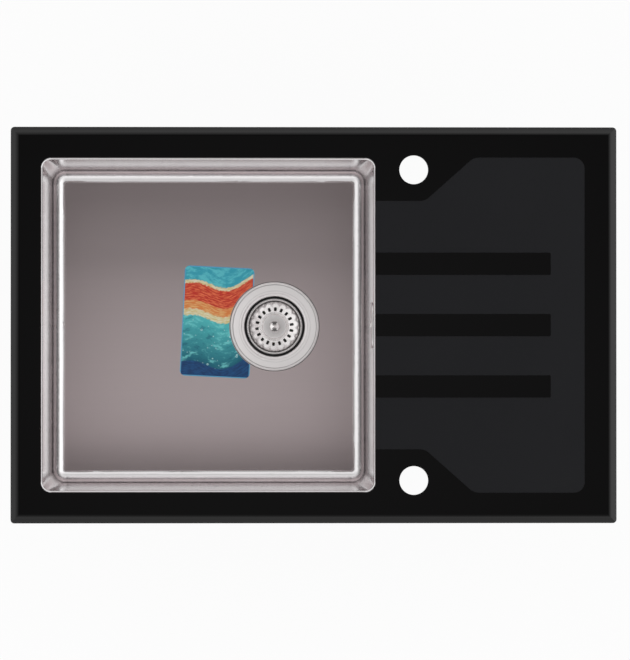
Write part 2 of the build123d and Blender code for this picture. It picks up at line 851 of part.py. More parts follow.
wall_back = -bowl_sheet
gasket_back = wall_back - wall_gasket_thickness
head_back = wall_back - head_depth
port_axis = Pos(0, 0, wall_back - port_axis_depth)
head_port_start = -head_height / 2
head_port_place = port_axis * Pos(0, head_port_start, 0) * Rot(90, 0, 0)


def overflow_cover():
    """Oval cover inside the bowl with two pairs of holes and a screw hole."""
    face = SlotOverall(cover_length, cover_width) - Circle(cover_screw_radius + fitting_gap)
    for offset_x in cover_hole_offsets:
        for side in (-1, 1):
            face -= Pos(side * offset_x, 0) * Circle(cover_hole_radius)
    cover = extrude(face, cover_thickness)
    rim = cover.faces().sort_by(Axis.Z)[-1].outer_wire().edges()
    return overflow_wall * fillet(rim, cover_thickness * 0.6)


def overflow_screw():
    """Pan-head screw that draws the cover and the head together through the wall."""
    head = rod(cover_screw_head_radius, cover_thickness, cover_thickness + cover_screw_head_height)
    head = fillet(head.faces().sort_by(Axis.Z)[-1].edges(), cover_screw_head_height * 0.5)
    head += rod(cover_screw_radius, cover_thickness - cover_screw_length, cover_thickness)
    reach = cover_screw_head_radius * 0.55
    slot = cover_screw_radius * 0.3
    top = cover_thickness + cover_screw_head_height
    for turn in (45, 135):
        head -= Rot(0, 0, turn) * block(-reach, reach, -slot, slot, top - 1.0, top + 1)
    return overflow_wall * head


def head_outline(grow):
    """Outline of the overflow head, grown outwards."""
    return RectangleRounded(head_length + 2 * grow, head_height + 2 * grow, head_corner_radius + grow)


def overflow_gasket():
    """Rubber ring between the bowl's outer face and the overflow head's rim."""
    ring = head_outline(wall_gasket_margin) - head_outline(-head_wall - wall_gasket_margin)
    return overflow_wall * Pos(0, 0, gasket_back) * extrude(ring, wall_gasket_thickness)


def overflow_head():
    """Moulded box behind the wall with a screw boss and a port that points down."""
    head = extrude(head_outline(0), gasket_back - head_back)
    head -= Pos(0, 0, head_wall) * extrude(head_outline(-head_wall), head_depth)
    head += rod(boss_radius, 0, gasket_back - head_back)
    head = Pos(0, 0, head_back) * head
    port_body, port_bore = port(port_length, head_wall / 2)
    head += head_port_place * port_body
    head -= head_port_place * port_bore
    head -= rod(cover_screw_radius + fitting_gap / 2, cover_thickness - cover_screw_length - 1, gasket_back + 1)
    return overflow_wall * head


pipe_top = (overflow_wall * head_port_place * Pos(0, 0, port_length - socket_depth + 1)).position
pipe_end = Vector(side_port_end_x - socket_depth + 1, 0, side_port_z)
pipe_run = (overflow_wall * head_port_place * Pos(0, 0, port_length)).position - pipe_top
pipe_corner = pipe_top + pipe_run * ((side_port_z - pipe_top.Z) / pipe_run.Z)


def overflow_pipe():
    """Pipe from the head's socket down the wall and, round one bend, to the waste's side port."""
    path = FilletPolyline(pipe_top, pipe_corner, pipe_end, radius=pipe_bend_radius)
    section = Plane(origin=pipe_top, z_dir=pipe_run) * (Circle(pipe_radius) - Circle(pipe_radius - pipe_wall))
    return sweep(section, path=path)


def pipe_nut():
    """Ribbed nut about Z over a port's mouth at z=0, with a lip that holds the cone seal."""
    bottom = -nut_overlap
    top = nut_length - nut_overlap
    nut = rod(nut_radius, bottom, top)
    nut = chamfer(nut.faces().filter_by(Plane.XY).edges(), 1.0)
    nut -= rod(port_radius + fitting_gap, bottom - 1, top - nut_lip)
    nut -= rod(pipe_radius + fitting_gap, bottom - 1, top + 1)
    groove = Pos(nut_radius + nut_grip_radius * 0.4, 0, 0) * rod(nut_grip_radius, bottom - 1, top + 1)
    for copy in around(nut_grip_count, groove):
        nut -= copy
    return nut


def cone_seal():
    """Tapered rubber ring about Z between a port's mouth at z=0 and the nut's lip."""
    inner = pipe_radius + fitting_gap / 2
    outer = port_radius - fitting_gap
    return turned(
        (inner, fitting_gap),
        (outer - 1.2, fitting_gap),
        (outer, fitting_gap + 1.5),
        (outer, fitting_gap + cone_seal_height),
        (inner, fitting_gap + cone_seal_height),
    )


upper_mouth = overflow_wall * head_port_place * Pos(0, 0, port_length)
lower_mouth = side_port_place * Pos(0, 0, side_port_length)


# Pads, earth tag and card


def wall_pad(side):
    """Sound pad on the outside of a bowl wall."""
    outline = RectangleRounded(wall_pad_length, wall_pad_height, pad_corner_radius)
    return wall_plane(side, glass_top - wall_pad_middle, outside=True) * extrude(outline, pad_thickness)


def floor_pad():
    """Sound pad under the bowl's floor, on the side away from the drain."""
    left = bowl_x - inner_half(opening_length, floor_z) + floor_pad_margin
    middle = left + floor_pad_length / 2
    top = floor_under_z
    return plate(floor_pad_length, floor_pad_width, pad_corner_radius, top - pad_thickness, top, middle)


def earth_tag():
    """Angle tag on the back wall's outside, with a hole for an earth wire."""
    leg = block(-tag_width / 2, tag_width / 2, 0, tag_leg, 0, tag_sheet)
    tongue = block(-tag_width / 2, tag_width / 2, 0, tag_sheet, 0, tag_tongue)
    hole = Pos(0, 0, tag_tongue - tag_width / 2) * Rot(90, 0, 0) * Cylinder(tag_hole_radius, 4 * tag_sheet)
    place = wall_plane((0, 1), glass_top - tag_drop, outside=True)
    return place * Pos(tag_offset, 0, 0) * (leg + tongue - hole)


def care_card():
    """Thin card on the floor, cut round the strainer flange."""
    card = plate(card_width, card_length, card_corner_radius, floor_z, floor_z + card_thickness)
    card = Pos(drain_x + card_offset_x, card_offset_y, 0) * Rot(0, 0, card_turn) * card
    lip = flange_radius + flange_clearance + seat_lip_run
    return card - at_drain * rod(lip + card_clearance, floor_z - 1, floor_z + 1)


# Files: one for each node

nodes = {
    "glass_deck": glass_deck(),
    "worktop_seal": worktop_seal(),
    "bowl": bowl(),
    "bowl_bond": bowl_bond(),
    "back_rail": long_rail(0),
    "front_rail": long_rail(180),
    "left_rail": short_rail(90),
    "right_rail": short_rail(270),
    "rail_bond": rail_bond(),
    "clamp_brackets": Compound(children=[place * clamp_bracket() for place in clamp_places]),
    "clamp_nuts": Compound(children=[place * clamp_nut() for place in clamp_places]),
    "strainer_flange": strainer_flange(),
    "flange_gasket": flange_gasket(),
    "basket_dish": basket_dish(),
    "basket_seal": basket_seal(),
    "basket_knob": basket_knob(),
    "basket_stem": basket_stem(),
    "basket_grip": basket_grip(),
    "waste_gasket": waste_gasket(),
    "waste_body": waste_body(),
    "waste_spigot": waste_spigot(),
    "waste_insert": waste_insert(),
    "waste_screw": waste_screw(),
    "overflow_cover": overflow_cover(),
    "overflow_screw": overflow_screw(),
    "overflow_gasket": overflow_gasket(),
    "overflow_head": overflow_head(),
    "overflow_pipe": overflow_pipe(),
    "upper_pipe_nut": upper_mouth * pipe_nut(),
    "lower_pipe_nut": lower_mouth * pipe_nut(),
    "upper_pipe_seal": upper_mouth * cone_seal(),
    "lower_pipe_seal": lower_mouth * cone_seal(),
    "left_sound_pad": wall_pad((-1, 0)),
    "back_sound_pad": wall_pad((0, 1)),
    "front_sound_pad": wall_pad((0, -1)),
    "floor_sound_pad": floor_pad(),
    "earth_tag": earth_tag(),
    "care_card": care_card(),
}
for i, x in enumerate(channel_xs, start=1):
    nodes[f"drainer_channel_{i}"] = channel(x)
for i, place in enumerate(clamp_places, start=1):
    nodes[f"clamp_screw_{i}"] = place * clamp_screw()
    nodes[f"clamp_washer_{i}"] = place * clamp_washer()
    nodes[f"clamp_claw_{i}"] = place * clamp_claw()

os.makedirs("parts", exist_ok=True)
for name, shape in nodes.items():
    export_step(shape, f"parts/{name}.step")
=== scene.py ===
import json
import math

import bmesh
import bpy
from mathutils import Matrix, Vector


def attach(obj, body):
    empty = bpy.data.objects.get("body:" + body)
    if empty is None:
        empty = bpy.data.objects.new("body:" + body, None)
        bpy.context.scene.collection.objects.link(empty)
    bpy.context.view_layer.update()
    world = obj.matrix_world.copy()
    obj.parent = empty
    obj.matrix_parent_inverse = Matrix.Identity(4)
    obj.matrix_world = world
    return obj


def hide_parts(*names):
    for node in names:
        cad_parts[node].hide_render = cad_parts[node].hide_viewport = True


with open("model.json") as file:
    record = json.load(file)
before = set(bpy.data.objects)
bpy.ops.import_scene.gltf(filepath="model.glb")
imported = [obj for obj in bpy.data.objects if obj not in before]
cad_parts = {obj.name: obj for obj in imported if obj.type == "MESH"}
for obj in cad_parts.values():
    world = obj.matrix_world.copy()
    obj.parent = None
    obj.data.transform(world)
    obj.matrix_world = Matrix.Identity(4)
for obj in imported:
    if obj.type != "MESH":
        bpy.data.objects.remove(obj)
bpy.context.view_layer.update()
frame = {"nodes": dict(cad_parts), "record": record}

# Places in the frame, in metres
DRAIN = (-0.0485, 0.0)
FLOOR_Z = -0.2815
RECESS_Z = (0.0050, 0.0055)
ETCHED_X = (0.0615, 0.3505)
ETCHED_HALF_Y = 0.2175
FLOOR_DEPTH = 0.4
CARD_CENTRE = (-0.125, 0.006)
CARD_TURN = math.radians(-2.8)
CARD_WIDTH, CARD_LENGTH = 0.093, 0.147

# Radii about the drain and heights of what the strainer's materials show
FLANGE_LINE, NECK_LINE = 0.0557, 0.0474
# heights and radii that bound the painted shade in the strainer's well
WELL_Z = (-0.2035, -0.2085)
KNOB_EDGE, WELL_EDGE = 0.0075, 0.009
DISH_FLOOR_Z = -0.213
RING_IN, FLUTE_OUT = 0.0150, 0.0330
# heights and radius that bound the painted shade in the basket's groove
GROOVE_Z = (-0.2058, -0.2078)
GROOVE_EDGE = 0.0312

# The satin's share from the back of the bowl's floor to its front
SATIN_STOPS = (
    (0.0, 0.0), (0.27, 0.0), (0.37, 0.35), (0.50, 0.62), (0.74, 1.0), (0.84, 0.95), (0.92, 0.55), (1.0, 0.0),
)


# Node trees written as sums


class Term:
    """A socket that takes part in arithmetic."""

    def __init__(self, graph, socket):
        self.graph = graph
        self.socket = socket

    def __add__(self, other):
        return self.graph.math("ADD", self, other)

    def __radd__(self, other):
        return self.graph.math("ADD", other, self)

    def __sub__(self, other):
        return self.graph.math("SUBTRACT", self, other)

    def __rsub__(self, other):
        return self.graph.math("SUBTRACT", other, self)

    def __mul__(self, other):
        return self.graph.math("MULTIPLY", self, other)

    def __rmul__(self, other):
        return self.graph.math("MULTIPLY", other, self)

    def __truediv__(self, other):
        return self.graph.math("DIVIDE", self, other)


class Graph:
    """Node tree of a material or of the world."""

    def __init__(self, tree):
        self.tree = tree

    def node(self, kind, inputs=None, **settings):
        made = self.tree.nodes.new("ShaderNode" + kind)
        for key, value in settings.items():
            setattr(made, key, value)
        for key, value in (inputs or {}).items():
            self.feed(made.inputs[key], value)
        return made

    def feed(self, target, value):
        if isinstance(value, Term):
            self.tree.links.new(value.socket, target)
        elif target.type == "RGBA" and len(value) == 3:
            target.default_value = (*value, 1.0)
        else:
            target.default_value = value

    def math(self, operation, *values):
        made = self.node("Math", dict(enumerate(values)), operation=operation)
        return Term(self, made.outputs[0])

    def place(self):
        """Object coordinates: the frame's own, in metres, at rest."""
        return Term(self, self.node("TexCoord").outputs["Object"])

    def normal(self):
        return Term(self, self.node("TexCoord").outputs["Normal"])

    def split(self, vector):
        outputs = self.node("SeparateXYZ", {0: vector}).outputs
        return [Term(self, outputs[i]) for i in range(3)]

    def join(self, x, y, z):
        return Term(self, self.node("CombineXYZ", {0: x, 1: y, 2: z}).outputs[0])

    def shift(self, vector, offset):
        made = self.node("VectorMath", {0: vector, 1: offset}, operation="ADD")
        return Term(self, made.outputs[0])

    def noise(self, vector, scale, detail=2.0, roughness=0.5):
        inputs = {"Vector": vector, "Scale": scale, "Detail": detail, "Roughness": roughness}
        return Term(self, self.node("TexNoise", inputs).outputs[0])

    def cells(self, vector, scale, output="Distance", feature="F1"):
        made = self.node("TexVoronoi", {"Vector": vector, "Scale": scale}, feature=feature)
        return Term(self, made.outputs[output])

    def remap(self, value, low, high, start=0.0, end=1.0, smooth=True):
        made = self.node(
            "MapRange",
            {"Value": value, "From Min": low, "From Max": high, "To Min": start, "To Max": end},
            interpolation_type="SMOOTHSTEP" if smooth else "LINEAR",
        )
        return Term(self, made.outputs[0])

    def between(self, value, low, high, fade):
        """One from low to high, with a soft edge inside each."""
        return self.remap(value, low, low + fade) * self.remap(value, high, high - fade)

    def near(self, value, centre, outer, inner):
        """One within inner of a centre, nothing past outer."""
        return self.remap(self.math("ABSOLUTE", value - centre), outer, inner)

    def curve(self, value, stops):
        """Value between stops of (position, height), all from 0 to 1."""
        made = self.node("ValToRGB", {0: value})
        ramp = made.color_ramp
        while len(ramp.elements) < len(stops):
            ramp.elements.new(0.5)
        for element, (position, height) in zip(ramp.elements, stops):
            element.position = position
            element.color = (height, height, height, 1.0)
        return self.split(Term(self, made.outputs[0]))[0]

    def mix(self, share, a, b):
        """Colour from a to b."""
        made = self.node("Mix", {0: share, 6: a, 7: b}, data_type="RGBA")
        return Term(self, made.outputs[2])

    def bump(self, height, distance, normal=None):
        inputs = {"Height": height, "Distance": distance, "Strength": 1.0}
        if normal is not None:
            inputs["Normal"] = normal
        return Term(self, self.node("Bump", inputs).outputs[0])

    def worn_edge(self, radius):
        """Normal that rounds the edges off."""
        return Term(self, self.node("Bevel", {"Radius": radius}, samples=4).outputs[0])


def surface(name, inputs_of):
    """Material with a principled shader whose inputs a function gives from its graph."""
    material = bpy.data.materials.new(name)
    material.use_nodes = True
    graph = Graph(material.node_tree)
    shader = material.node_tree.nodes["Principled BSDF"]
    for key, value in inputs_of(graph).items():
        graph.feed(shader.inputs[key], value)
    return material


def from_drain(g):
    """Place across from the drain's axis, and the distance from it."""
    x, y = g.split(g.place())[:2]
    dx, dy = x - DRAIN[0], y - DRAIN[1]
    return dx, dy, g.math("SQRT", dx * dx + dy * dy)


# Materials


def black_glass(g):
    """Polished on top and on the bevel, etched in the recess, enamelled underneath."""
    p = g.place()
    x, y, z = g.split(p)
    nz = g.split(g.normal())[2]
    across = g.remap(g.math("ABSOLUTE", y), ETCHED_HALF_Y, ETCHED_HALF_Y - 0.0005)
    etched = g.between(z, *RECESS_Z, 0.0001) * g.between(x, *ETCHED_X, 0.0005) * across
    under = g.remap(nz, -0.5, -0.8)
    grain = g.noise(p, 2600, 3, 0.6)
    cloud = g.noise(p, 9, 3)
    polish = 0.03 + 0.02 * cloud
    rough = polish + etched * (0.235 + 0.05 * grain) + under * (0.45 + 0.1 * grain)
    frosted = g.mix(grain, (0.0022, 0.0023, 0.0036), (0.0040, 0.0042, 0.0062))
    enamel = g.mix(cloud, (0.010, 0.010, 0.011), (0.016, 0.016, 0.017))
    tone = g.mix(under, g.mix(etched, (0.0030, 0.0028, 0.0029), frosted), enamel)
    height = grain * g.math("MAXIMUM", etched, under)
    return {"Base Color": tone, "Roughness": rough, "IOR": 1.46, "Normal": g.bump(height, 0.00004)}


def foam_seal(g):
    p = g.place()
    pores = g.cells(p, 1500)
    cloud = g.noise(p, 60, 3)
    tone = g.mix(pores, (0.020, 0.020, 0.022), g.mix(cloud, (0.045, 0.045, 0.05), (0.07, 0.07, 0.075)))
    return {"Base Color": tone, "Roughness": 0.92, "Normal": g.bump(pores, 0.0004)}


def brushed(g, along_x):
    """Height of brush marks, and broader streaks, that run along X or level round the walls."""
    x, y, z = g.split(g.place())
    if along_x:
        line = g.join(x * 6, y * 900, z * 900)
        streak = g.join(x * 3, y * 160, z * 160)
    else:
        line = g.join(x * 6, y * 6, z * 700)
        streak = g.join(x * 3, y * 3, z * 130)
    return g.noise(line, 1.0, 4, 0.7), g.noise(streak, 1.0, 3, 0.6)


def bowl_steel(g):
    """Satin along the floor and bright round the walls; the bends and corners get a lighter tone as painted
    highlight, and the corners are also ground rougher.
    """
    p = g.place()
    nx, ny, nz = g.split(g.normal())
    flat = g.remap(nz, 0.985, 0.998)
    floor_line, floor_streak = brushed(g, True)
    wall_line, wall_streak = brushed(g, False)
    line = wall_line + flat * (floor_line - wall_line)
    streak = wall_streak + flat * (floor_streak - wall_streak)
    cloud = g.noise(p, 4, 3)
    bend = g.remap(nz, 0.1, 0.4)
    corner = g.remap(g.math("MINIMUM", g.math("ABSOLUTE", nx), g.math("ABSOLUTE", ny)), 0.15, 0.4)
    floor_tone = g.mix(streak, (0.68, 0.58, 0.587), (0.71, 0.605, 0.612))
    floor_tone = g.mix(g.remap(cloud, 0.3, 0.7, 0.0, 0.6), floor_tone, (0.695, 0.592, 0.599))
    wall_tone = g.mix(streak, (0.635, 0.612, 0.617), (0.68, 0.66, 0.665))
    # painted highlight: the bends and corners get a lighter tone than the walls
    wall_tone = g.mix(g.math("MAXIMUM", bend, corner), wall_tone, (0.75, 0.73, 0.735))
    satin = g.curve(0.5 - g.split(p)[1] / FLOOR_DEPTH, SATIN_STOPS)
    polish = 0.105 + 0.003 * streak + 0.003 * line
    return {
        "Base Color": g.mix(flat, wall_tone, floor_tone),
        "Metallic": 1.0,
        "Roughness": polish + flat * (0.172 + 0.02 * cloud + 0.092 * satin) + 0.1 * corner,
        "Anisotropic": 0.35,
        "Tangent": g.join(0.0, flat, 1.0 - flat),
        "Normal": g.bump(line, 0.0000008),
    }


def silicone(g):
    p = g.place()
    lump = g.noise(p, 160, 3)
    tone = g.mix(lump, (0.032, 0.032, 0.035), (0.055, 0.055, 0.06))
    rough = g.remap(lump, 0.3, 0.7, 0.32, 0.48)
    return {"Base Color": tone, "Roughness": rough, "Normal": g.bump(lump, 0.0006)}


def frame_steel(g):
    """Galvanised sheet with spangle."""
    p = g.place()
    shade = g.split(g.cells(p, 130, "Color"))[0]
    edge = g.cells(p, 130, feature="DISTANCE_TO_EDGE")
    dust = g.noise(p, 900, 3, 0.6)
    tone = g.mix(shade, (0.42, 0.435, 0.45), (0.62, 0.635, 0.65))
    tone = g.mix(g.remap(edge, 0.0, 0.06, 0.5, 0.0), tone, (0.36, 0.37, 0.385))
    rough = 0.34 + 0.14 * shade + 0.08 * dust
    normal = g.bump(dust, 0.00004, g.worn_edge(0.0004))
    return {"Base Color": tone, "Metallic": 1.0, "Roughness": rough, "Normal": normal}


def zinc(g):
    p = g.place()
    dust = g.noise(p, 1300, 3, 0.6)
    cloud = g.noise(p, 120, 3)
    tone = g.mix(cloud, (0.60, 0.615, 0.64), (0.74, 0.755, 0.78))
    normal = g.bump(dust, 0.00002, g.worn_edge(0.0002))
    return {"Base Color": tone, "Metallic": 1.0, "Roughness": 0.2 + 0.16 * dust, "Normal": normal}


def claw_zinc(g):
    """Yellow chromate with green and rose clouds."""
    p = g.place()
    cloud = g.noise(p, 90, 3)
    drift = g.noise(g.shift(p, (0.4, 0.1, 0.2)), 60, 3)
    dust = g.noise(p, 1200, 3, 0.6)
    tone = g.mix(cloud, (0.70, 0.55, 0.24), (0.78, 0.70, 0.36))
    tone = g.mix(g.remap(drift, 0.5, 0.7, 0.0, 0.6), tone, (0.52, 0.60, 0.34))
    tone = g.mix(g.remap(drift, 0.42, 0.3, 0.0, 0.5), tone, (0.72, 0.42, 0.36))
    normal = g.bump(dust, 0.00002, g.worn_edge(0.0003))
    return {"Base Color": tone, "Metallic": 1.0, "Roughness": 0.24 + 0.14 * dust, "Normal": normal}


def turned_steel(g, scale, low, high):
    """Steel turned about the drain: radius, tone, and inputs with rings of tool marks."""
    dx, dy, r = from_drain(g)
    rings = g.noise(g.join(r * scale, 0.0, 0.0), 1.0, 4, 0.7)
    cloud = g.noise(g.place(), 40, 3)
    tone = g.mix(rings, (0.86, 0.825, 0.82), (0.95, 0.92, 0.915))
    tone = g.mix(g.remap(cloud, 0.3, 0.7, 0.0, 0.3), tone, (0.90, 0.87, 0.865))
    return r, tone, {
        "Metallic": 1.0,
        "Roughness": g.remap(rings, 0.2, 0.8, low, high),
        "Anisotropic": 0.5,
        "Tangent": g.join(dx, dy, 0.0),
        "Normal": g.bump(rings, 0.00001),
    }


def strainer_steel(g):
    """Turned steel: two scribed lines round the flange, painted darker as shade, painted shade down in the
    well, and a polished knob.
    """
    r, tone, inputs = turned_steel(g, 1600, 0.38, 0.48)
    z = g.split(g.place())[2]
    # painted shade: the deep well below the basket is painted nearly black
    well_shade = g.remap(z, *WELL_Z) * g.remap(r, KNOB_EDGE, WELL_EDGE)
    knob = g.remap(r, KNOB_EDGE, KNOB_EDGE - 0.0005)
    neck_line = g.near(r, NECK_LINE, 0.0007, 0.0002) * 0.4
    scribed = g.math("MAXIMUM", g.near(r, FLANGE_LINE, 0.0009, 0.0003), neck_line)
    # painted shade: the scribed lines are painted darker, besides the bump that shapes them
    tone = g.mix(scribed * 0.6, tone, (0.42, 0.40, 0.40))
    tone = g.mix(knob, tone, (0.80, 0.775, 0.77))
    inputs["Normal"] = g.bump(scribed, 0.0003, inputs["Normal"])
    inputs["Roughness"] = inputs["Roughness"] - knob * 0.31
    return {**inputs, "Base Color": g.mix(well_shade * 0.85, tone, (0.11, 0.105, 0.10))}


def basket_steel(g):
    """Satin pressing, rougher inside the raised ring, with painted shade down in the groove."""
    r, tone, inputs = turned_steel(g, 900, 0.17, 0.26)
    z = g.split(g.place())[2]
    middle = g.remap(r, RING_IN + 0.0006, RING_IN)
    groove = g.remap(z, *GROOVE_Z) * g.remap(r, GROOVE_EDGE, FLUTE_OUT)
    tone = g.mix(0.18, tone, (0.5, 0.48, 0.475))
    tone = g.mix(middle, tone, (0.92, 0.89, 0.885))
    # painted shade: the groove between the flutes and the wall is painted dark
    tone = g.mix(groove * 0.6, tone, (0.20, 0.19, 0.19))
    return {**inputs, "Base Color": tone, "Roughness": inputs["Roughness"] + middle * 0.24}


def seal_rubber(g):
    p = g.place()
    grain = g.noise(p, 1800, 3, 0.6)
    bloom = g.noise(p, 45, 3)
    tone = g.mix(bloom, (0.010, 0.010, 0.011), (0.022, 0.022, 0.024))
    return {"Base Color": tone, "Roughness": 0.5 + 0.2 * bloom, "Normal": g.bump(grain, 0.00005)}


def moulded(low, high, rough):
    """Moulded plastic between two tones, with a fine spark finish."""

    def inputs_of(g):
        p = g.place()
        grain = g.noise(p, 1500, 3, 0.6)
        flow = g.noise(p, 30, 4)
        return {
            "Base Color": g.mix(flow, low, high),
            "Roughness": rough + 0.1 * grain,
            "IOR": 1.49,
            "Subsurface Weight": 0.08,
            "Subsurface Scale": 0.002,
            "Normal": g.bump(grain, 0.00004, g.worn_edge(0.0003)),
        }

    return inputs_of


def brass(g):
    rings = g.noise(g.join(from_drain(g)[2] * 3000, 0.0, 0.0), 1.0, 3, 0.6)
    tone = g.mix(g.noise(g.place(), 150, 3), (0.60, 0.42, 0.17), (0.76, 0.58, 0.28))
    rough = 0.2 + 0.15 * rings
    return {"Base Color": tone, "Metallic": 1.0, "Roughness": rough, "Normal": g.bump(rings, 0.00002)}


def bitumen(g):
    """Bitumen sheet embossed with small lozenges, with painted shade in the hollows between them."""
    p = g.place()
    x, y, z = g.split(p)
    a = g.math("SINE", (x + y + z) * 1250)
    b = g.math("SINE", (x - y + z) * 1250)
    emboss = g.remap(a * b, -0.4, 0.5)
    grit = g.noise(p, 2200, 3, 0.7)
    tone = g.mix(grit, (0.028, 0.028, 0.03), (0.075, 0.075, 0.08))
    # painted shade: the hollows between the lozenges are painted darker
    tone = g.mix(emboss, g.mix(0.5, tone, (0.02, 0.02, 0.022)), tone)
    return {"Base Color": tone, "Roughness": 0.72, "Normal": g.bump(emboss + 0.25 * grit, 0.0003)}


def card(g):
    """Coated card: waves in warm and cold bands, with foam along one edge and bubbles in the deep."""
    p = g.shift(g.place(), (-CARD_CENTRE[0], -CARD_CENTRE[1], 0.0))
    x, y = g.split(p)[:2]
    c, s = math.cos(CARD_TURN), math.sin(CARD_TURN)
    u = x * c + y * s
    v = y * c - x * s
    flat = g.join(u, v, 0.0)
    ruffle = g.noise(flat, 260, 4, 0.6) - 0.5
    swing = g.math("SINE", u * 75 + 0.6) * 0.006 + g.math("SINE", u * 31 + 2.1) * 0.009
    level = v + swing
    rough_level = level + ruffle * 0.007
    grain = g.noise(g.join(u * 110, level * 620, 0.0), 1.0, 3, 0.6)
    shoal = g.noise(g.join(u * 70, level * 160, 0.3), 1.0, 4, 0.65)
    sea = g.mix(g.remap(level, -0.05, 0.015, smooth=False), (0.004, 0.15, 0.22), (0.10, 0.62, 0.64))
    sea = g.mix(g.remap(shoal, 0.52, 0.66, 0.0, 0.75), sea, (0.22, 0.78, 0.78))
    sea = g.mix(g.remap(shoal, 0.44, 0.34, 0.0, 0.6), sea, (0.003, 0.12, 0.20))
    foam = g.mix(g.remap(grain, 0.4, 0.62), (0.80, 0.66, 0.30), (0.93, 0.88, 0.66))
    ember = g.mix(g.remap(grain, 0.42, 0.62), (0.66, 0.030, 0.016), (0.90, 0.20, 0.08))
    flame = g.mix(g.remap(grain, 0.4, 0.62), (0.85, 0.25, 0.06), (0.93, 0.52, 0.20))
    lagoon = g.mix(g.remap(shoal, 0.45, 0.6), (0.04, 0.42, 0.55), (0.12, 0.62, 0.70))
    deep = g.mix(g.remap(grain, 0.4, 0.6), (0.004, 0.045, 0.16), (0.008, 0.09, 0.26))
    tone = g.mix(g.remap(rough_level, 0.0095, 0.0110), sea, foam)
    tone = g.mix(g.remap(rough_level, 0.0175, 0.0195), tone, flame)
    tone = g.mix(g.remap(level + ruffle * 0.003, 0.029, 0.031), tone, ember)
    tone = g.mix(g.remap(rough_level, 0.0525, 0.0540), tone, foam)
    tone = g.mix(g.remap(rough_level, 0.0570, 0.0585), tone, lagoon)
    tone = g.mix(g.remap(level, -0.049, -0.052), tone, deep)
    for scale, size in ((104, 0.14), (187, 0.12)):
        away = g.cells(flat, scale)
        pick = g.split(g.cells(flat, scale, "Color"))[0]
        rim = pick * size
        wet = g.remap(level, -0.052, -0.049) * g.remap(level, 0.007, 0.003) * g.remap(pick, 0.35, 0.4)
        ring = g.near(away, rim, 0.045, 0.02) * wet
        core = g.remap(away, rim * 0.4, rim * 0.2) * wet
        tone = g.mix(g.math("MAXIMUM", ring * 0.8, core), tone, (0.62, 0.92, 0.92))
    edge_u = g.remap(g.math("ABSOLUTE", u), CARD_WIDTH / 2 - 0.0016, CARD_WIDTH / 2 - 0.0010)
    edge_v = g.remap(g.math("ABSOLUTE", v), CARD_LENGTH / 2 - 0.0016, CARD_LENGTH / 2 - 0.0010)
    tone = g.mix(g.math("MAXIMUM", edge_u, edge_v), tone, (0.12, 0.45, 0.72))
    fibre = g.noise(p, 1500, 3)
    return {"Base Color": tone, "Roughness": 0.3 + 0.1 * fibre, "Coat Weight": 0.3, "Coat Roughness": 0.12}


MATERIALS = {
    "black_glass": black_glass,
    "foam_seal": foam_seal,
    "bowl_steel": bowl_steel,
    "silicone": silicone,
    "frame_steel": frame_steel,
    "zinc": zinc,
    "claw_zinc": claw_zinc,
    "strainer_steel": strainer_steel,
    "basket_steel": basket_steel,
    "seal_rubber": seal_rubber,
    "white_plastic": moulded((0.70, 0.70, 0.67), (0.80, 0.80, 0.775), 0.36),
    "grey_plastic": moulded((0.38, 0.39, 0.40), (0.46, 0.47, 0.48), 0.4),
    "brass": brass,
    "pad": bitumen,
    "card": card,
}
made = {slot: surface(slot, inputs_of) for slot, inputs_of in MATERIALS.items()}
for part in frame["record"]["subparts"]:
    mesh = frame["nodes"][part["node"]].data
    mesh.materials.clear()
    mesh.materials.append(made[part["material_slot"]])


# Pieces

AT_DRAIN = Matrix.Translation((*DRAIN, 0.0))


def add_piece(name, mesh, slot, body, replaces=None):
    mesh.materials.clear()
    mesh.materials.append(made[slot])
    mesh.polygons.foreach_set("use_smooth", [True] * len(mesh.polygons))
    mesh.set_sharp_from_angle(angle=math.radians(32))
    piece = bpy.data.objects.new(name, mesh)
    bpy.context.scene.collection.objects.link(piece)
    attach(piece, body)
    if replaces:
        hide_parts(replaces)
    return piece


def ring_faces(count, rows, closed):
    """Quads of a grid that goes round: count columns of rows points each."""
    faces = {}
    for j in range(count):
        k = (j + 1) % count
        for i in range(rows if closed else rows - 1):
            n = (i + 1) % rows
            faces[j, i] = (j * rows + i, k * rows + i, k * rows + n, j * rows + n)
    return faces


def solid_mesh(name, points, faces, place=Matrix.Identity(4)):
    """Closed mesh, with double points joined and faces turned outwards."""
    work = bmesh.new()
    verts = [work.verts.new(place @ Vector(point)) for point in points]
    for face in faces:
        work.faces.new([verts[i] for i in face])
    bmesh.ops.remove_doubles(work, verts=work.verts, dist=1e-7)
    bmesh.ops.dissolve_degenerate(work, edges=work.edges, dist=1e-7)
    bmesh.ops.recalc_face_normals(work, faces=work.faces)
    mesh = bpy.data.meshes.new(name)
    work.to_mesh(mesh)
    work.free()
    return mesh


def lathe(name, section, columns, closed=True, place=Matrix.Identity(4)):
    """Mesh turned about Z. section(angle) lists (radius, height) and may change with the angle."""
    points = []
    rows = 0
    for j in range(columns):
        angle = 2 * math.pi * j / columns
        stations = section(angle)
        rows = len(stations)
        points += [(r * math.cos(angle), r * math.sin(angle), z) for r, z in stations]
    return solid_mesh(name, points, ring_faces(columns, rows, closed).values(), place)


def joined(name, meshes, places=(Matrix.Identity(4),)):
    """One mesh from several, each copied to every place."""
    work = bmesh.new()
    for mesh in meshes:
        for place in places:
            start = len(work.verts)
            work.from_mesh(mesh)
            work.verts.ensure_lookup_table()
            bmesh.ops.transform(work, matrix=place, verts=work.verts[start:])
    whole = bpy.data.meshes.new(name)
    work.to_mesh(whole)
    work.free()
    return whole


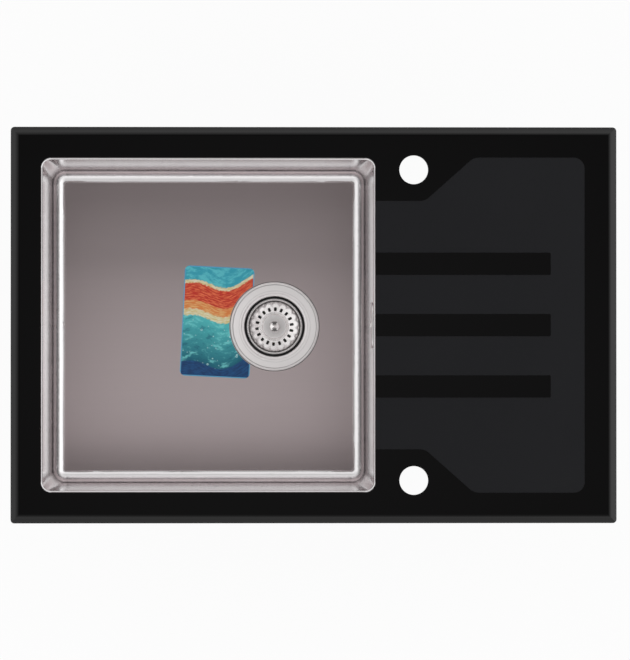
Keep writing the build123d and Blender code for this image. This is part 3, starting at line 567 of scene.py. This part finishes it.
def thread_wave(angle, z, pitch, land):
    """Height of a thread from 0 at its root to 1 on its land."""
    phase = (z / pitch - angle / (2 * math.pi)) % 1.0
    return max(0.0, min(1.0, (1.0 - abs(2.0 * phase - 1.0)) * (1.0 + 2 * land) - land))


def spaced(start, end, step):
    count = max(1, round(abs(end - start) / step))
    return [start + (end - start) * i / count for i in range(count + 1)]


# Basket dish: heights from its floor, radii from its axis

DISH_RIM = 0.015
DISH_LEDGE = 0.006
DISH_SHEET = 0.0007
DISH_TURN = math.radians(7.0)
DISH_HOLE = 0.0025
FLUTES = 18
FLUTE_STEP = 2 * math.pi / FLUTES
RING_OUT, RING_HEIGHT = 0.0192, 0.0008
FLUTE_IN = 0.0196
FLUTE_IN_SWELL, FLUTE_OUT_SWELL = 0.0004, 0.0016
GROOVE_DEPTH = 0.0022
SLOT_START, SLOT_END, SLOT_HALF_WIDTH, SLOT_HALF_END = 0.0207, 0.0259, 0.00172, 0.0012
WALL_IN, WALL_OUT, RIM_OUT, RIM_BEND = 0.0347, 0.0354, 0.0369, 0.0012


def cone_rows():
    """Shares of the way up the cone, and the rows that bound the slots."""
    span = FLUTE_OUT - FLUTE_IN
    first = (SLOT_START - FLUTE_IN) / span
    last = (SLOT_END - FLUTE_IN) / span
    inset = 0.0005 / span
    inner = [first + inset + (last - first - 2 * inset) * i / 4 for i in range(5)]
    rows = [0.0, 0.035, first, *inner, last, 0.5, 0.58, 0.66, 0.74, 0.81, 0.87, 0.92, 0.96, 1.0]
    return rows, rows.index(first), rows.index(last)


def dish_column(offset_of, crown):
    """Points of one column as (angle offset, radius, height): up the inside, then down the outside."""
    rows, first, last = cone_rows()

    def at(r, z, half_width=SLOT_HALF_WIDTH, reach=0.0233):
        return offset_of(math.asin(half_width / reach)), r, z

    def cone(share, under):
        inner = FLUTE_IN - FLUTE_IN_SWELL * (1 - crown)
        outer = FLUTE_OUT - FLUTE_OUT_SWELL * (1 - crown)
        r = inner + (outer - inner) * share
        z = DISH_LEDGE * (0.72 * share + 0.28 * share**4) + 0.0006 * crown * math.sin(math.pi * share) ** 2
        row = rows.index(share)
        half_width = SLOT_HALF_END if row in (first, last) else SLOT_HALF_WIDTH
        reach = min(max(r, SLOT_START), SLOT_END)
        if under:
            return at(r - 0.0002 * share, z - DISH_SHEET, half_width, reach)
        return at(r, z, half_width, reach)

    top = [at(r, 0.0) for r in (DISH_HOLE, 0.0045, 0.0075, 0.0105, 0.0130)]
    for share in spaced(0.0, 1.0, 0.1):
        swell = (1 - math.cos(2 * math.pi * share)) / 2
        top.append(at(RING_IN + (RING_OUT - RING_IN) * share, RING_HEIGHT * swell))
    cone_start = len(top)
    top += [cone(share, False) for share in rows]
    groove = DISH_LEDGE - GROOVE_DEPTH
    top += [at(FLUTE_OUT + 0.0001, DISH_LEDGE - 0.0006), at(FLUTE_OUT + 0.00015, groove)]
    top += [at(WALL_IN - 0.0001, groove), at(WALL_IN, groove + 0.0002), at(WALL_IN, DISH_LEDGE + 0.003)]
    bend_z = DISH_RIM - RIM_BEND
    for turn in range(0, 91, 15):
        a = math.radians(turn)
        top.append(at(WALL_IN + RIM_BEND * (1 - math.cos(a)), bend_z + RIM_BEND * math.sin(a)))
    edge = RIM_OUT - DISH_SHEET / 2
    for turn in range(90, -91, -30):
        a = math.radians(turn)
        top.append(at(edge + DISH_SHEET / 2 * math.cos(a), DISH_RIM - DISH_SHEET / 2 * (1 - math.sin(a))))
    under = []
    for turn in range(90, -1, -15):
        a = math.radians(turn)
        bend = RIM_BEND - DISH_SHEET
        under.append(at(WALL_IN + RIM_BEND - bend * math.cos(a), bend_z + bend * math.sin(a)))
    foot = groove - DISH_SHEET
    under += [at(WALL_OUT, DISH_LEDGE + 0.003), at(WALL_OUT, foot + 0.0003), at(WALL_OUT - 0.0003, foot)]
    under += [at(FLUTE_OUT - 0.0001, foot), at(FLUTE_OUT - 0.0003, foot + 0.0003)]
    under_start = len(top) + len(under)
    under += [cone(share, True) for share in reversed(rows)]
    under += [at(r, -DISH_SHEET) for r in (0.0188, 0.0165, 0.0130, 0.0075, 0.0045, DISH_HOLE)]
    return top + under, cone_start, under_start


def basket_dish():
    """Pressed dish: rolled rim, wall, flutes with a slot in each, and a raised ring."""
    rows, first, last = cone_rows()
    before, across, after = (-0.5, -0.38, -0.27), (-1.0, -0.5, 0.0, 0.5, 1.0), (0.27, 0.38)
    per_flute = len(before) + len(across) + len(after)
    columns, points = [], []
    for flute in range(FLUTES):
        beside = [(lambda slot, s=share: s * FLUTE_STEP, 1 - (2 * share) ** 2) for share in before + after]
        within = [(lambda slot, s=share: s * slot, 1 - (share * 0.37) ** 2) for share in across]
        for offset_of, crown in [*beside[: len(before)], *within, *beside[len(before) :]]:
            columns.append((flute, offset_of, crown))
    for flute, offset_of, crown in columns:
        column, cone_start, under_start = dish_column(offset_of, crown)
        for offset, r, z in column:
            angle = DISH_TURN + flute * FLUTE_STEP + offset
            x, y = DRAIN[0] + r * math.cos(angle), DRAIN[1] + r * math.sin(angle)
            points.append((x, y, DISH_FLOOR_Z + z))
    height = len(column)
    faces = ring_faces(len(columns), height, True)
    walls = []
    top_first, top_last = cone_start + first, cone_start + last
    mirror = under_start + len(rows) - 1 + cone_start  # top row i lies over row mirror - i
    for flute in range(FLUTES):
        left = flute * per_flute + len(before)
        right = left + len(across) - 1
        for j in range(left, right):
            for i in range(top_first, top_last):
                del faces[j, i]
                del faces[j, mirror - i - 1]
            for i in (top_first, top_last):
                a, b = j * height, (j + 1) * height
                walls.append((a + i, b + i, b + mirror - i, a + mirror - i))
        for i in range(top_first, top_last):
            for j in (left, right):
                a = j * height
                walls.append((a + i, a + i + 1, a + mirror - i - 1, a + mirror - i))
    mesh = solid_mesh("strainer_dish", points, [*faces.values(), *walls])
    return add_piece("strainer_dish", mesh, "basket_steel", "basket", "basket_dish")


# Knob

KNOB_FACE_Z, KNOB_UNDER_Z, KNOB_FOOT_Z = -0.1995, -0.204, -0.2122
KNOB_TIP, KNOB_REST = 0.0026, 0.42
KNOB_FACE, KNOB_HEAD, KNOB_NECK, KNOB_FOOT = 0.0062, 0.0068, 0.0042, 0.0072
STEM_BORE, STEM_BORE_TOP = 0.0025, -0.205


def knob_section(angle):
    """Head with sloping sides to left and right and level thumb rests to front and back."""
    slope = max(0.0, min(1.0, (abs(math.cos(angle)) - 0.55) / 0.25))
    slope = slope * slope * (3 - 2 * slope)
    stations = [(0.0, KNOB_FACE_Z + KNOB_TIP)]
    for share in (0.08, 0.16, 0.24, 0.32, KNOB_REST, 0.55, 0.7, 0.85, 1.0):
        side = KNOB_TIP * (1 - share)
        rest = KNOB_TIP * max(0.0, 1 - share / KNOB_REST)
        stations.append((KNOB_FACE * share, KNOB_FACE_Z + rest + (side - rest) * slope))
    stations += [(KNOB_HEAD - 0.0002, KNOB_FACE_Z - 0.0003), (KNOB_HEAD, KNOB_FACE_Z - 0.0007)]
    stations += [(KNOB_HEAD, KNOB_UNDER_Z), (KNOB_HEAD - 0.0008, KNOB_UNDER_Z - 0.0006)]
    stations += [(KNOB_NECK, KNOB_UNDER_Z - 0.0016), (KNOB_NECK, KNOB_FOOT_Z + 0.0010)]
    stations += [(KNOB_FOOT - 0.0004, KNOB_FOOT_Z + 0.0004), (KNOB_FOOT, KNOB_FOOT_Z)]
    stations += [(KNOB_FOOT, DISH_FLOOR_Z), (STEM_BORE, DISH_FLOOR_Z)]
    return [*stations, (STEM_BORE, STEM_BORE_TOP), (0.0, STEM_BORE_TOP)]


def knob():
    mesh = lathe("pull_knob", knob_section, 96, closed=False, place=AT_DRAIN)
    add_piece("pull_knob", mesh, "strainer_steel", "basket", "basket_knob")


# Clamp screws, made about Z and then placed

SCREW_TIP, SCREW_SEAT, SCREW_FLANGE, SCREW_END = -0.019, -0.064, -0.0655, -0.0695
SCREW_PLACES = [(-0.3, 1), (0.0, 1), (0.3, 1), (0.3, -1), (0.0, -1), (-0.3, -1)]
CLAMP_Y = 0.2392


def hexagon(angle, flat):
    """Distance from the centre to a hexagon's outline."""
    sector = (angle + math.pi / 6) % (math.pi / 3) - math.pi / 6
    return flat / math.cos(sector)


def screw_shank(angle):
    stations = [(0.0, SCREW_TIP), (0.0018, SCREW_TIP)]
    for z in spaced(SCREW_TIP - 0.0002, SCREW_SEAT - 0.0004, 0.00025):
        fade = min(1.0, (z - SCREW_SEAT) / 0.002) if z > SCREW_SEAT else 0.0
        r = 0.00248 + 0.00052 * thread_wave(angle, z, 0.001, 0.12) * fade
        stations.append((min(r, 0.002 + (SCREW_TIP - z)), z))
    return [*stations, (0.0, SCREW_SEAT - 0.0004)]


def screw_head(angle):
    flat = 0.004
    stations = [(0.0, SCREW_SEAT), (0.0053, SCREW_SEAT), (0.0056, SCREW_SEAT - 0.0003)]
    stations += [(0.0056, SCREW_FLANGE + 0.0003), (0.0053, SCREW_FLANGE)]
    stations.append((hexagon(angle, flat), SCREW_FLANGE))
    for rise, limit in ((0.0008, 0.0047), (0.0004, 0.0044), (0.0, 0.0039)):
        stations.append((min(hexagon(angle, flat), limit), SCREW_END + rise))
    return [*stations, (0.0, SCREW_END)]


def cut(mesh, tool):
    """The mesh without what the tool's mesh covers."""
    body = bpy.data.objects.new("body", mesh)
    knife = bpy.data.objects.new("knife", tool)
    for temporary in (body, knife):
        bpy.context.scene.collection.objects.link(temporary)
    modifier = body.modifiers.new("cut", "BOOLEAN")
    modifier.operation = "DIFFERENCE"
    modifier.solver = "EXACT"
    modifier.object = knife
    graph = bpy.context.evaluated_depsgraph_get()
    result = bpy.data.meshes.new_from_object(body.evaluated_get(graph))
    for temporary in (body, knife):
        bpy.data.objects.remove(temporary)
    return result


def block_mesh(name, low, high):
    """Box between two corners, as a cutting tool."""
    points = [(x, y, z) for x in (low[0], high[0]) for y in (low[1], high[1]) for z in (low[2], high[2])]
    faces = [(0, 1, 3, 2), (4, 6, 7, 5), (0, 4, 5, 1), (2, 3, 7, 6), (0, 2, 6, 4), (1, 5, 7, 3)]
    return solid_mesh(name, points, faces)


def clamp_screws():
    """Threaded shanks with flanged, slotted hexagon heads."""
    shank = lathe("shank", screw_shank, 24, closed=False)
    slot_tool = block_mesh("tool", (-0.01, -0.0007, SCREW_END - 0.002), (0.01, 0.0007, SCREW_END + 0.0018))
    head = cut(lathe("head", screw_head, 48, closed=False), slot_tool)
    for i, (x, side) in enumerate(SCREW_PLACES, start=1):
        turn = Matrix.Rotation(0.0 if side > 0 else math.pi, 4, "Z")
        place = Matrix.Translation((x, side * CLAMP_Y, 0.0)) @ turn
        mesh = joined(f"threaded_screw_{i}", [shank, head], [place])
        add_piece(f"threaded_screw_{i}", mesh, "zinc", f"clamp_{i}_screw", f"clamp_screw_{i}")


# Threads of the waste

SPIGOT_TOP, SPIGOT_END = -0.2552, -0.2812
SPIGOT_ROOT, SPIGOT_BORE, SPIGOT_PITCH = 0.0232, 0.0209, 0.0023
PORT_INSIDE, PORT_ROOT, PORT_PITCH = 0.0138, 0.01402, 0.0024
THREAD_HEIGHT = 0.0007
SIDE_PORT, SIDE_PORT_LENGTH, SIDE_PORT_TURN = (0.0025, 0.0, -0.2172), 0.0146, 90.0
HEAD_PORT, HEAD_PORT_LENGTH, HEAD_PORT_TURN = (0.096647, 0.0, -0.049672), 0.0096, 181.84


def spigot_section(angle):
    stations = [(SPIGOT_BORE, SPIGOT_TOP), (SPIGOT_ROOT, SPIGOT_TOP), (SPIGOT_ROOT, SPIGOT_TOP - 0.002)]
    start, end = SPIGOT_TOP - 0.0025, SPIGOT_END + 0.0015
    for z in spaced(start, end, SPIGOT_PITCH / 8):
        fade = max(0.0, min(1.0, (start - z) / 0.0015, (z - end) / 0.001))
        stations.append((SPIGOT_ROOT + THREAD_HEIGHT * thread_wave(angle, z, SPIGOT_PITCH, 0.25) * fade, z))
    stations += [(SPIGOT_ROOT, SPIGOT_END + 0.0005), (SPIGOT_ROOT - 0.0004, SPIGOT_END)]
    stations += [(SPIGOT_BORE + 0.0004, SPIGOT_END), (SPIGOT_BORE, SPIGOT_END + 0.0004)]
    return [*stations, (SPIGOT_BORE, SPIGOT_END + 0.01)]


def port_ridges(length):
    """Section of the thread that shows between a port's root and its nut."""

    def section(angle):
        stations = [(PORT_INSIDE, 0.0), (PORT_ROOT, 0.0)]
        start, end = 0.0004, length - 0.0004
        for z in spaced(start, end, PORT_PITCH / 8):
            fade = max(0.0, min(1.0, (z - start) / 0.001, (end - z) / 0.001))
            stations.append((PORT_ROOT + THREAD_HEIGHT * thread_wave(angle, z, PORT_PITCH, 0.25) * fade, z))
        return [*stations, (PORT_ROOT, length), (PORT_INSIDE, length)]

    return section


def waste_threads():
    spigot = lathe("threaded_spigot", spigot_section, 72, place=AT_DRAIN)
    add_piece("threaded_spigot", spigot, "white_plastic", "sink", "waste_spigot")
    for name, foot, length, turn in (
        ("side_port_thread", SIDE_PORT, SIDE_PORT_LENGTH, SIDE_PORT_TURN),
        ("head_port_thread", HEAD_PORT, HEAD_PORT_LENGTH, HEAD_PORT_TURN),
    ):
        place = Matrix.Translation(foot) @ Matrix.Rotation(math.radians(turn), 4, "Y")
        add_piece(name, lathe(name, port_ridges(length), 60, place=place), "white_plastic", "sink")


# Beads of weld and silicone


def bead(path, radius, closed=False, sides=8, ripple=0.16, lump=0.1):
    """Uneven round bead along a path of points, as (points, faces)."""
    count = len(path)
    points = []
    for k, centre in enumerate(path):
        back = path[(k - 1) % count] if closed or k else path[0]
        ahead = path[(k + 1) % count] if closed or k < count - 1 else path[-1]
        along = (ahead - back).normalized()
        side = along.orthogonal() if abs(along.z) > 0.9 else along.cross(Vector((0, 0, 1)))
        side.normalize()
        up = side.cross(along)
        swell = 1 + ripple * math.sin(2.4 * k) + lump * math.sin(0.37 * k + 1.1) * math.sin(0.11 * k)
        if not closed and k in (0, count - 1):
            swell *= 0.35
        for s in range(sides):
            turn = 2 * math.pi * s / sides
            points.append(centre + (side * math.cos(turn) + up * math.sin(turn)) * radius * swell)
    faces = []
    for k in range(count if closed else count - 1):
        n = (k + 1) % count
        for s in range(sides):
            t = (s + 1) % sides
            faces.append((k * sides + s, n * sides + s, n * sides + t, k * sides + t))
    if not closed:
        faces += [tuple(range(sides)), tuple(range((count - 1) * sides, count * sides))]
    return points, faces


def rounded_loop(centre, half, corner, z, step):
    """Points round a square with rounded corners."""
    points = []
    straight = half - corner
    for quarter in range(4):
        turn = Matrix.Rotation(quarter * math.pi / 2, 3, "Z")
        for y in spaced(-straight, straight, step)[:-1]:
            points.append(turn @ Vector((half, y, 0.0)))
        for a in spaced(0.0, math.pi / 2, step / corner)[:-1]:
            arc = Vector((math.cos(a), math.sin(a), 0.0)) * corner
            points.append(turn @ (Vector((straight, straight, 0.0)) + arc))
    return [Vector((centre[0] + p.x, centre[1] + p.y, z)) for p in points]


def beads():
    """Weld beads along the brackets and the silicone pressed out round the bowl's flange."""
    work = []
    for x, side in SCREW_PLACES:
        for edge in (-0.0112, 0.0112):
            path = [Vector((x + edge, side * 0.2313, z)) for z in spaced(-0.0058, -0.0202, 0.0006)]
            work.append(solid_mesh("weld", *bead(path, 0.0011)))
    add_piece("weld_beads", joined("weld_beads", work), "frame_steel", "sink")
    loop = rounded_loop((-0.136, 0.0), 0.2264, 0.0243, -0.0009, 0.004)
    mesh = solid_mesh("silicone_bead", *bead(loop, 0.0013, closed=True, ripple=0.05, lump=0.28))
    add_piece("silicone_bead", mesh, "silicone", "sink")


basket_dish()
knob()
clamp_screws()
waste_threads()
beads()


# Floor, light and camera

FLOOR_HALF = 12.0
FLOOR_WHITENESS = 0.93
CAMERA_EYE = (-0.111172, -0.05017, 5.5)
CAMERA_TARGET = (0.001294, -0.006322, 0.006)
CAMERA_LENS = 232.93


def add_floor():
    """Plain diffuse floor that the camera, and what mirrors it, see as nearly white."""
    mesh = bpy.data.meshes.new("floor")
    turns = ((-1, -1), (1, -1), (1, 1), (-1, 1))
    mesh.from_pydata([(x * FLOOR_HALF, y * FLOOR_HALF, FLOOR_Z) for x, y in turns], [], [(0, 1, 2, 3)])
    floor = bpy.data.objects.new("floor", mesh)
    bpy.context.scene.collection.objects.link(floor)
    material = bpy.data.materials.new("floor")
    material.use_nodes = True
    tree = material.node_tree
    tree.nodes.remove(tree.nodes["Principled BSDF"])
    g = Graph(tree)
    ray = g.node("LightPath").outputs
    seen = g.math("MAXIMUM", Term(g, ray["Is Camera Ray"]), Term(g, ray["Is Glossy Ray"]))
    seen = g.math("MAXIMUM", seen, Term(g, ray["Is Transmission Ray"]))
    paint = g.node("BsdfDiffuse", {"Color": (0.82, 0.82, 0.82)})
    glow = g.node("Emission", {"Color": (1.0, 1.0, 1.0), "Strength": 1.0})
    shaders = {1: Term(g, paint.outputs[0]), 2: Term(g, glow.outputs[0])}
    both = g.node("MixShader", {0: seen * FLOOR_WHITENESS, **shaders})
    tree.links.new(both.outputs[0], tree.nodes["Material Output"].inputs[0])
    material.cycles.emission_sampling = "NONE"
    mesh.materials.append(material)


# Light by degrees from straight overhead, on each side
WORLD_ANGLES = (0, 6, 12, 18, 25, 34, 45, 60, 80)
WORLD_LEVELS = {
    "left": (0.15, 0.03, 0.05, 0.66, 1.12, 1.15, 1.20, 0.50, 0.25),
    "right": (0.15, 0.08, 0.07, 0.78, 1.40, 1.52, 1.50, 0.65, 0.30),
    "front": (0.15, 0.04, 0.22, 0.88, 0.75, 0.84, 0.99, 1.20, 1.35),
    "back": (0.15, 0.03, 0.05, 0.76, 1.15, 0.90, 0.70, 0.95, 0.98),
}


def add_world():
    """Soft light from all sides, by the angle from straight overhead, where it is dim."""
    world = bpy.data.worlds.new("studio")
    bpy.context.scene.world = world
    world.use_nodes = True
    g = Graph(world.node_tree)
    x, y, z = g.split(Term(g, g.node("TexCoord").outputs["Generated"]))
    angle = g.math("ARCCOSINE", z) * (2 / math.pi)
    flat = g.math("MAXIMUM", x * x + y * y, 1e-9)
    total = 0.0
    for side, along in (("left", 0.0 - x), ("right", x), ("front", 0.0 - y), ("back", y)):
        stops = [(degrees / 90, level / 2) for degrees, level in zip(WORLD_ANGLES, WORLD_LEVELS[side])]
        toward = g.math("MAXIMUM", along, 0.0)
        total = g.curve(angle, stops) * (toward * toward / flat) + total
    shader = world.node_tree.nodes["Background"]
    shader.inputs["Color"].default_value = (1.0, 1.0, 1.0, 1.0)
    g.feed(shader.inputs["Strength"], total * 2.0)


def add_camera():
    data = bpy.data.cameras.new("camera")
    camera = bpy.data.objects.new("camera", data)
    bpy.context.scene.collection.objects.link(camera)
    bpy.context.scene.camera = camera
    eye = Vector(CAMERA_EYE)
    back = (eye - Vector(CAMERA_TARGET)).normalized()
    right = Vector((0.0, 1.0, 0.0)).cross(back).normalized()
    up = back.cross(right)
    turn = Matrix((right, up, back)).transposed()
    camera.matrix_world = Matrix.Translation(eye) @ turn.to_4x4()
    data.lens = CAMERA_LENS
    data.clip_end = 100.0


add_camera()
add_world()
add_floor()
bpy.context.scene.view_settings.view_transform = "Standard"
